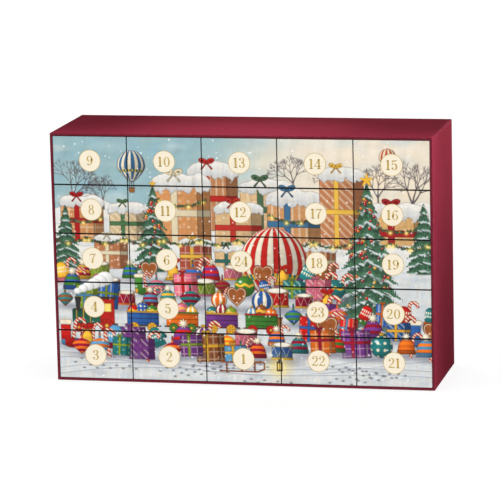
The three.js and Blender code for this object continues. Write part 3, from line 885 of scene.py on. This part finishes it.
# Over it hangs a large balloon, and on it stand a fir, a wooden train loaded with baubles, and heaps
# of toys.
paint_balloon(232, 124, 36, (0.78, 0.16, 0.13), (0.93, 0.88, 0.79), 16)
paint_fir(330, 52, 160, 96, 21, 12)
paint_toys(3, 13, -6, 296, 114, 88, 8.5, 11.5, 5)
paint_engine(40, 50, 46)
for step, (colour, trim) in enumerate(((2, 7), (1, 4), (3, 7), (4, 0))):
    for load in range(3):
        spot = patch(82 + 42 * step + 10 * load, 74 + 3 * (load % 2), 13)
        paint_bauble(*spot, 6.5, toy_colours[(3 * step + 2 * load) % 12], GOLD, step + load)
    paint_wagon(92 + 42 * step, 52, 34, toy_colours[colour], toy_colours[trim] * 0.95, step)
paint_toys(3, 7, 244, 400, 74, 42, 9.0, 12.5, 8)
paint_toys(2, 10, -4, 240, 46, 36, 9.0, 12.0, 12)

# A wooden sledge with curled runners, posts and a seat, with a parcel on it.
view, x, z = patch(196, 12, 37)
wood = np.array((0.58, 0.31, 0.18))
lay(view, stroke(x, z, [(-23, 0.8), (17.5, 0.8), (23.9, 3.7), (23.9, 10.1), (19.3, 11.5)], [0.8] * 5), wood)
for post in (-16.1, 0.0, 13.8):
    lay(view, slab(x - post, z - 5.06, 0.8, 5.06, 0.3), wood)
lay(view, slab(x + 1.38, z - 10.58, 21.16, 1.1, 0.6), wood * 1.15, ink=0.6)
paint_parcel(*patch(190, 31.5, 28), 24, 17, (0.34, 0.57, 0.73), (0.92, 0.70, 0.23), 6, 0.05)

# A tin lantern with a warm pane, a bar over it, a roof and a ring.
paint_glow(236, 19, 11, 0.6)
view, x, z = patch(236, 14, 20)
pane = (1.05 - 0.2 * abs(z / 5 - 1)) * (1.0, 0.85, 0.42)
lay(view, slab(x, z - 5, 3.1, 5, 0.8), TIN, ink=0)
lay(view, slab(x, z - 5, 2.25, 3.75, 0.4), pane)
bar = common(abs(x) - 0.3, abs(z - 5) - 4)
roof = common(abs(x) - 0.75 * np.clip(13 - z, 0, 5), 10 - z, z - 13)
for shape in (bar, roof, abs(oval(x, z - 14.25, 1.5)) - 0.25):
    lay(view, shape, TIN, ink=0)

# Snow falls over all of it, and the print has a fine grain.
rows = np.random.default_rng(6)
flakes = [rows.uniform(low, high, 420) for low, high in ((2, 394), (4, 256), (0.35, 0.95))]
for middle, level, size in zip(*flakes):
    spot, x, z = patch(middle, level, 2)
    lay(spot, oval(x, z, size), (1, 1, 1), edge=0.8, ink=0, cover=0.85)
fine = 0.05 * mottle(sheet_x, sheet_z, 91, 35) + rows.normal(0, 0.016, sheet_x.shape)
picture = np.clip(picture * (1 + fine), 0, 1)

# Drawers. Each is folded from one blank of 0.8 mm card, white-lined outside and grey inside, with
# tabs glued inside its front and back walls. Its front carries its part of the picture, which bleeds
# a little way round the folds.
card_wall = 0.8
fold_radius = 0.6
cut_across, cut_down = 0.08, 0.12
print_bleed = 2.6
tab_length = 16.0
tab_top_gap = 2.0
tab_slant = (3.0, 4.0)
tab_edge = 0.1
front_step = 0.45
fold_rub, edge_rub, edge_rub_share = 0.8, 0.5, 0.6
picture_left = -198.0
picture_base = 2.2
bare_card = (0.66, 0.65, 0.625)
grey_side = (0.42, 0.385, 0.33)


def picture_at(x, z):
    """Tones of the picture at places in front of the case, eased between its nearest points, and
    turned into light by the usual screen curve, a power of 2.2."""
    across = np.clip((x - picture_left) / print_pitch, 0, picture.shape[1] - 1.001)
    up = np.clip((z - picture_base) / print_pitch, 0, picture.shape[0] - 1.001)
    i, j = up.astype(int), across.astype(int)
    u, v = (across - j)[..., None], (up - i)[..., None]
    low, high = (eased(picture[row, j], picture[row, j + 1], u) for row in (i, i + 1))
    return eased(low, high, v) ** 2.2


def tray_mesh(low, high):
    """Tray between two corners: a rounded outline carried up the outside in close steps, over the
    cut edge and down the inside. Gives its rings, print colours and marks."""
    half_x, half_y, height = (high[0] - low[0]) / 2, (high[1] - low[1]) / 2, high[2] - low[2]
    along_side = np.append(np.linspace(0, print_bleed, 6), (print_bleed + 0.4, half_y, 2 * half_y - 3))
    along_side = np.append(along_side / (2 * half_y), 1)
    along_front = np.linspace(0, 1, int(2 * half_x / front_step))
    shares = [along_side, np.array((0, 0.04, 0.96, 1)), 1 - along_side[::-1], along_front]
    outside = [(fold_radius + 3.0, 0.0), (fold_radius + 1.0, 0.0)]
    outside += fold(fold_radius, fold_radius, fold_radius, -90, 0)
    outside += [(0.0, z) for z in np.linspace(fold_radius, height - cut_down, int(height / front_step))[1:]]
    cut_edge = [(cut_across, height), (card_wall - cut_across, height)]
    inside = [(card_wall, height - cut_down), (card_wall, height / 2)]
    inside += [(card_wall, card_wall + 0.5), (card_wall + 0.5, card_wall)]
    rings = []
    for inset, z in outside + cut_edge + inside:
        outline = ring_around(half_x - inset, half_y - inset, max(fold_radius - inset, 0.2), shares)
        rings.append(np.column_stack((outline, np.full(len(outline), z))))
    rings = np.array(rings) + (low[0] + half_x, low[1] + half_y, low[2])
    x, y, z = rings.reshape(-1, 3).T
    inner = np.repeat(np.arange(len(rings)) > len(outside), rings.shape[1])
    from_middle, back_by = x - low[0] - half_x, y - low[1]
    printed = (back_by < print_bleed) & ~inner
    colours = np.where(printed[:, None], picture_at(x + np.sign(from_middle) * back_by, z), bare_card)
    colours = np.where(inner[:, None], grey_side, colours)
    side_gap, end_gap = half_x - abs(from_middle), np.minimum(back_by, high[1] - y)
    folds = np.minimum(side_gap + end_gap, z - low[2] + np.minimum(back_by, side_gap))
    top = edge_rub_share * np.clip(1 - (high[2] - z) / edge_rub, 0, 1)
    rubbed = np.maximum(np.clip(1 - folds / fold_rub, 0, 1), top) * ~inner
    return rings, colours, np.stack((rubbed, inner), axis=1)


def glue_tabs(low, high):
    """Four tabs inside the front and back walls, as flat sheets with slanted tops."""
    base, top = low[2] + card_wall, high[2] - tab_top_gap
    sheets = []
    for side in (-1, 1):
        outer = (low[0] + high[0] + side * (high[0] - low[0])) / 2 - side * card_wall
        inner = outer - side * tab_length
        for wall, inwards in ((low[1] + card_wall, 1), (high[1] - card_wall, -1)):
            outline = [(outer, base), (outer, top), (inner + side * tab_slant[0], top),
                       (inner, top - tab_slant[1]), (inner, base)]
            sheet = np.array([[(x, wall + inwards * y, z) for x, z in outline]
                              for y in (0.0, card_wall - tab_edge, card_wall)])
            sheets.append(sheet if side * inwards < 0 else sheet[:, ::-1])
    return sheets


def joined(parts):
    """One surface from several lofts."""
    starts = np.cumsum([0] + [len(points) for points, quads, caps in parts])
    return (np.concatenate([points for points, quads, caps in parts]),
            np.concatenate([quads + start for (points, quads, caps), start in zip(parts, starts)]),
            [cap + start for (points, quads, caps), start in zip(parts, starts) for cap in caps])


printed_card, tree, shader = new_finish("printed_card", Specular_IOR_Level=0.12)
pulp = add_grain(tree, 60, 1500, 900)
inks = add_node(tree, "Attribute", attribute_name="print")["Color"]
rubbed, inner = read_marks(tree, 0.3)[:2]
card_colour = toned(tree, toned(tree, inks, pulp["Cloud"], 0.98, 1.02), pulp["Fibre"], 0.965, 1.035)
bare_colour = toned(tree, inks, pulp["Fibre"], 0.8, 1.15)
bare_colour = blended(tree, pulp["Fleck"], bare_colour, (0.20, 0.18, 0.15, 1))
card_colour = blended(tree, inner, card_colour, bare_colour)
card_colour = blended(tree, rubbed, card_colour, (0.74, 0.72, 0.68, 1))
roughness = scaled(tree, pulp["Fibre"], 0.15, scaled(tree, inner, 0.43, 0.35))
finish_off(tree, shader, card_colour, roughness, pulp["Fibre"], 0.02)
grey_card = pulp_finish(
    "grey_card", 0.2, (45, 1100, 800), (0.43, 0.395, 0.34, 1), (0.20, 0.18, 0.15, 1), (0.92, 1.06),
    (0.85, 1.12), (0.2, 0.75), 0.04)

drawer_boxes = {name[-2:]: [np.array(corner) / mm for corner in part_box(name)]
                for name in sorted(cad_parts) if name.startswith("drawer_")}
for label, (low, high) in drawer_boxes.items():
    rings, colours, marks = tray_mesh(low, high)
    tray = new_piece("tray_" + label, loft(rings), "box_" + label, "drawer_card", [printed_card],
                     smooth=True, print=colours, marks=marks)
    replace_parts(tray, "drawer_" + label)
    tabs = joined([loft(sheet) for sheet in glue_tabs(low, high)])
    new_piece("tray_tabs_" + label, tabs, "box_" + label, "drawer_card", [grey_card])

# Number spots. A cream spot is printed in the middle of each front, or of the upper half of the double
# one, and a ring and the number are stamped over it in gold foil. The figures are upright ones with
# thick stems, hairlines and round ends.
spot_radius = 11.5
spot_thickness = 0.12
foil_thickness = 0.05
ring_radius = 11.2
ring_half_width = 0.24
spot_rise = 0.5
hair = 0.026
figure_height = 10.2
figure_stretch = 1.08
figure_widths = {"0": 0.80, "1": 0.57, "4": 0.76, "7": 0.64}
usual_figure_width = 0.71
row_pitch = (half_height - rim_width) * 2 / 5


def circle(steps, radius, middle=(0, 0)):
    """Points on a circle or an oval, anticlockwise."""
    turn = np.linspace(0, 2 * np.pi, steps, endpoint=False)
    return middle + radius * np.stack((np.cos(turn), np.sin(turn)), axis=1)


def levelled(*lines):
    """Rings from pairs of a flat line and its level, side by side."""
    return [np.column_stack((line, np.full(len(line), level))) for line, level in lines]


def band_rings(left, right):
    """Upright rings of four points each along a flat band between two lines."""
    return np.stack(levelled((left, 0), (left, 1), (right, 1), (right, 0)), axis=1)


def line_rings(line, steps=6):
    """Smooth curve through (across, up, half width) points, as a flat band. A point without a half
    width is on a hairline. Between two points runs the cubic whose slope at each point is half the
    gap of its neighbours."""
    line = np.array([(*point, hair)[:3] for point in line], dtype=float)
    padded = np.concatenate((2 * line[:1] - line[1:2], line, 2 * line[-1:] - line[-2:-1]))
    p0, p1, p2, p3 = (padded[i:len(padded) - 3 + i, None] for i in range(4))
    t = np.linspace(0, 1, steps, endpoint=False)[:, None]
    curve = p1 + (p2 - p0) / 2 * t + (p0 - 2.5 * p1 + 2 * p2 - p3 / 2) * t ** 2
    curve += (1.5 * (p1 - p2) + (p3 - p0) / 2) * t ** 3
    curve = np.concatenate((curve.reshape(-1, 3), line[-1:]))
    middle, half = curve[:, :2], curve[:, 2:]
    ahead = np.gradient(middle, axis=0)
    ahead /= np.linalg.norm(ahead, axis=1, keepdims=True)
    aside = np.stack((-ahead[:, 1], ahead[:, 0]), axis=1) * half
    return band_rings(middle + aside, middle - aside)


def bowl_rings(middle, outer, inner, steps=36):
    """Closed flat band between two ovals around the middle."""
    return band_rings(circle(steps, inner, middle), circle(steps, outer, middle))


def ball_rings(middle, radius):
    """Round flat end of a stroke."""
    return np.stack(levelled((circle(14, radius, middle), 0), (circle(14, radius, middle), 1)))


stem = 0.092
six_tail = [(-0.235, 0.30, 0.07), (-0.22, 0.52, 0.066), (-0.13, 0.78, 0.045), (0.02, 0.94), (0.15, 0.955),
            (0.22, 0.88)]
figures = {
    "0": [(bowl_rings, (0, 0.5), (0.29, 0.505), (0.145, 0.465))],
    "1": [(line_rings, [(0, 0.0, stem), (0, 0.5, stem), (0, 0.985, stem)]),
          (line_rings, [(-0.2, 0.86, 0.012), (-0.1, 0.90, 0.03), (0.0, 0.955, 0.045)]),
          (line_rings, [(-0.2, hair), (0, hair), (0.2, hair)])],
    "2": [(ball_rings, (-0.165, 0.76), 0.085),
          (line_rings, [(-0.235, 0.75), (-0.20, 0.90), (-0.03, 0.98), (0.14, 0.92, 0.055),
                        (0.19, 0.74, 0.075), (0.12, 0.52, 0.055), (-0.06, 0.30, 0.03), (-0.22, 0.10),
                        (-0.26, 0.05)]),
          (line_rings, [(-0.27, 0.045, 0.03), (-0.10, 0.085, 0.055), (0.10, 0.05, 0.05), (0.22, 0.07, 0.04),
                        (0.27, 0.22, 0.016)])],
    "3": [(ball_rings, (-0.16, 0.80), 0.08), (ball_rings, (-0.18, 0.19), 0.085),
          (line_rings, [(-0.23, 0.80), (-0.16, 0.94), (0.0, 0.98), (0.14, 0.91, 0.06), (0.175, 0.76, 0.07),
                        (0.12, 0.60, 0.05), (-0.05, 0.53), (0.10, 0.49, 0.05), (0.205, 0.29, 0.078),
                        (0.15, 0.09, 0.06), (0.0, 0.02), (-0.17, 0.06), (-0.255, 0.19)])],
    "4": [(line_rings, [(0.11, 0.0, stem), (0.11, 0.5, stem), (0.11, 1.0, stem)]),
          (line_rings, [(0.14, 0.98), (-0.08, 0.63), (-0.30, 0.27)]),
          (line_rings, [(-0.31, 0.255), (0.0, 0.255), (0.31, 0.255)]),
          (line_rings, [(-0.06, hair), (0.11, hair), (0.28, hair)])],
    "5": [(ball_rings, (-0.17, 0.19), 0.085),
          (line_rings, [(-0.19, 0.93, 0.02), (0.0, 0.90, 0.065), (0.22, 0.97, 0.03)]),
          (line_rings, [(-0.19, 0.98), (-0.195, 0.75), (-0.20, 0.50)]),
          (line_rings, [(-0.20, 0.50), (-0.06, 0.62), (0.12, 0.57, 0.06), (0.20, 0.34, 0.078),
                        (0.14, 0.10, 0.06), (-0.02, 0.02), (-0.17, 0.06), (-0.245, 0.19)])],
    "6": [(bowl_rings, (0.01, 0.30), (0.27, 0.305), (0.13, 0.272)), (ball_rings, (0.16, 0.86), 0.075),
          (line_rings, six_tail)],
    "7": [(line_rings, [(-0.26, 0.74, 0.018), (-0.235, 0.90, 0.03), (-0.05, 0.91, 0.062),
                        (0.15, 0.90, 0.05), (0.27, 0.96, 0.03)]),
          (line_rings, [(0.265, 0.97), (0.15, 0.74, 0.03), (0.0, 0.42, 0.062), (-0.04, 0.0, 0.085)])],
    "8": [(bowl_rings, (0, 0.755), (0.23, 0.25), (0.105, 0.215)),
          (bowl_rings, (0, 0.275), (0.275, 0.28), (0.135, 0.243))],
    "9": [(bowl_rings, (-0.01, 0.70), (0.27, 0.305), (0.13, 0.272)), (ball_rings, (-0.16, 0.14), 0.075),
          (line_rings, [(-x, 1 - z, *width) for x, z, *width in six_tail])],
}


def number_lofts(number):
    """Lofts of the strokes, bowls and balls of a number's figures, side by side by their widths."""
    widths = [figure_widths.get(figure, usual_figure_width) for figure in number]
    lofts = []
    for place, figure in enumerate(number):
        middle = sum(widths[:place]) + widths[place] / 2 - sum(widths) / 2
        for kind, *shape in figures[figure]:
            rings = kind(*shape) * (figure_stretch, 1, 1) + (middle, 0, 0)
            lofts.append(loft(rings, closed=kind is bowl_rings))
    return lofts


def put_on_front(kind, label, surface, scale, place, material):
    """Piece from a flat shape (across, up, thickness), scaled, upright at a place on a front."""
    flat, quads, caps = surface
    points = place + (flat * scale)[:, (0, 2, 1)] * (1, -1, 1)
    new_piece(kind + label, (points, quads, caps), "box_" + label, "drawer_card", [material])


cream = (0.925, 0.83, 0.65, 1)
spot_print = pulp_finish(
    "cream_spot", 0.1, (90, 1500, 900), cream, cream, (0.97, 1.02), (0.98, 1.02), (0.15, 0.4), 0.015)
gold_foil, tree, shader = new_finish("gold_foil", Metallic=0.85)
pulp = add_grain(tree, 150, 1800, 2500)
foil_colour = toned(tree, (0.52, 0.36, 0.09), pulp["Cloud"], 0.86, 1.14)
foil_colour = blended(tree, pulp["Fleck"], foil_colour, (0.70, 0.62, 0.44, 1))
finish_off(tree, shader, foil_colour, scaled(tree, pulp["Cloud"], 0.25, 0.25), pulp["Fibre"], 0.02)

spot = loft(np.stack(levelled((circle(64, spot_radius), -0.3), (circle(64, spot_radius), 0.6),
                              (circle(64, spot_radius - 0.04), 1.0))))
outer, inner = ((ring_radius + side * ring_half_width) / figure_height for side in (1, -1))
ring = loft(bowl_rings((0, 0.5), outer, inner, 72), closed=True)
for label, (low, high) in drawer_boxes.items():
    place = np.array(((low[0] + high[0]) / 2, low[1], high[2] - row_pitch / 2 + spot_rise))
    put_on_front("number_spot_", label, spot, (1, 1, spot_thickness), place, spot_print)
    place -= (0, spot_thickness, figure_height / 2)
    foil = joined([ring] + number_lofts(str(int(label))))
    foil_scale = (figure_height, figure_height, foil_thickness)
    put_on_front("number_foil_", label, foil, foil_scale, place, gold_foil)


# Jigsaw pieces. Each drawer holds its share of loose pieces, die-cut from printed 1.9 mm greyboard:
# square with round knobs and matching bays, and a straight side where they come from the border.
pieces_per_drawer = 42
piece_pitch = 17.0
piece_thickness = 1.9
floor_clearance = 0.05
piece_clearance = 0.02
heap_cell = 2.0
heap_gap = (1.6, 2.4)
heap_limit = 14.1
first_layer = (4, 6)
layer_stray = 2.5
places_tried = 8
steepest_lean = 0.3
share_face_up = 0.62
knob_radius = 0.2 * piece_pitch
knob_reach = 0.6 * piece_pitch
knob_middle = 0.82
knob_tip = 6
knob_line = np.array((
    (0.00, 0.00), (0.25, -0.02), (0.39, -0.03), (0.43, 0.03), (0.39, 0.12), (0.42, 0.20), (0.50, 0.23),
    (0.58, 0.20), (0.61, 0.12), (0.57, 0.03), (0.61, -0.03), (0.75, -0.02)))


def piece_outlines(count, rows):
    """Outlines of jigsaw pieces: the knob line along each of four sides, turned outwards, inwards or
    flattened, with its knob moved and sized by chance."""
    swing = rows.choice((-1.0, 1.0, -1.0, 1.0, 0.0), size=(count, 4, 1))
    along = knob_line[:, 0] + rows.uniform(-0.06, 0.06, (count, 4, 1)) * np.sin(np.pi * knob_line[:, 0])
    out = knob_line[:, 1] * swing * rows.uniform(0.9, 1.15, (count, 4, 1))
    a, b = (along - 0.5) * piece_pitch, (-0.5 - out) * piece_pitch
    return np.stack(turned(a, b, -np.arange(4)[:, None] * np.pi / 2), axis=-1).reshape(count, -1, 2)


def grid_points(*lines):
    """All places whose two coordinates are on the given lines."""
    return np.stack(np.meshgrid(*lines), axis=-1).reshape(-1, 2)


def footprint(cells, place, turn, tips):
    """Cells of the drawer's floor that a piece covers: its turned square and a disc at each knob."""
    own = (cells - place) @ turn.T
    under = abs(own).max(axis=1) < piece_pitch / 2
    for tip in tips:
        under |= np.hypot(*(own - tip).T) < knob_radius
    return under


def heap_of_pieces(low, high, rows):
    """Lays the pieces down one by one: the first ones on a loose grid, and each other one on the
    lowest of a few places. Each lies on the plane that fits the heights under it, moved up until it
    clears them, and then raises them by its thickness. Gives the rings of all pieces."""
    lower, upper = low[:2] + heap_gap, high[:2] - heap_gap
    cells = grid_points(*(np.arange(a, b, heap_cell) for a, b in zip(lower, upper)))
    heights = np.full(len(cells), low[2] + card_wall + floor_clearance)
    outlines = piece_outlines(pieces_per_drawer, rows)
    shares = grid_points(*((np.arange(count) + 0.5) / count for count in first_layer))
    grid = rows.permutation(lower + shares * (upper - lower))
    rings = []
    for number, (outline, angle) in enumerate(zip(outlines, rows.uniform(0, 2 * np.pi, pieces_per_drawer))):
        turn = np.array(((np.cos(angle), np.sin(angle)), (-np.sin(angle), np.cos(angle))))
        tips = outline.reshape(4, -1, 2)[:, knob_tip]
        tips = knob_middle * tips[np.hypot(*tips.T) > knob_reach]
        piece = outline @ turn
        reach = abs(piece).max(axis=0)
        if number < len(grid):
            places = grid[number] + rows.uniform(-layer_stray, layer_stray, (1, 2))
        else:
            places = rows.uniform(lower, upper, (places_tried, 2))
        places = np.clip(places, lower + reach, upper - reach)
        covered = [footprint(cells, place, turn, tips) for place in places]
        best = int(np.argmin([heights[under].max() + heights[under].mean() for under in covered]))
        place, under = places[best], covered[best]
        spots = np.column_stack((cells[under] - place, np.ones(under.sum())))
        slope = np.linalg.lstsq(spots, heights[under], rcond=None)[0][:2]
        slope = np.clip(slope, -steepest_lean, steepest_lean)
        plane = spots[:, :2] @ slope
        rest = (heights[under] - plane).max()
        heights[under] = plane + rest + piece_thickness
        base = np.column_stack((piece + place, piece @ slope + rest + piece_clearance))
        rings.append(np.stack((base, base + (0, 0, piece_thickness))))
    rings = np.array(rings)
    return rings[rings[:, 1, :, 2].max(axis=1) < low[2] + heap_limit]


jigsaw_print, tree, shader = new_finish("jigsaw_print", Specular_IOR_Level=0.4)
pulp = add_grain(tree, 160, 1500, 900)
inks = add_node(tree, "Attribute", attribute_name="print")["Color"]
piece_place = add_node(tree, "TexCoord")["Object"]
patches = add_node(tree, "TexVoronoi", {"Vector": piece_place, "Scale": 260.0})["Color"]
patch_tone = toned(tree, toned(tree, inks, patches, 0.72, 1.25), pulp["Cloud"], 0.85, 1.15)
finish_off(tree, shader, patch_tone, scaled(tree, pulp["Fibre"], 0.15, 0.3), pulp["Cloud"], 0.03)
jigsaw_board = pulp_finish(
    "jigsaw_board", 0.2, (70, 1000, 700), (0.36, 0.36, 0.35, 1), (0.16, 0.155, 0.15, 1), (0.9, 1.1),
    (0.85, 1.12), (0.2, 0.72), 0.05)

for label, (low, high) in drawer_boxes.items():
    rows = np.random.default_rng(int(label))
    rings = heap_of_pieces(low, high, rows)
    points, quads, caps = joined([loft(pair) for pair in rings])
    spots = rows.uniform((0, 0), (picture_width, picture_height), (len(rings), 2))
    shown = rings[..., :2] - rings[..., :2].mean(axis=(1, 2), keepdims=True) + spots[:, None, None]
    colours = picture_at(shown[..., 0] + picture_left, shown[..., 1] + picture_base).reshape(-1, 3)
    heap = new_piece("jigsaw_pieces_" + label, (points, quads, caps), "box_" + label, "jigsaw_board",
                     [jigsaw_board, jigsaw_print], print=colours)
    face_up = rows.random(len(rings)) < share_face_up
    showing = np.append(np.zeros(len(quads)), np.stack((~face_up, face_up), axis=1)).astype(np.int32)
    heap.data.polygons.foreach_set("material_index", showing)
    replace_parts(heap, "puzzle_" + label)
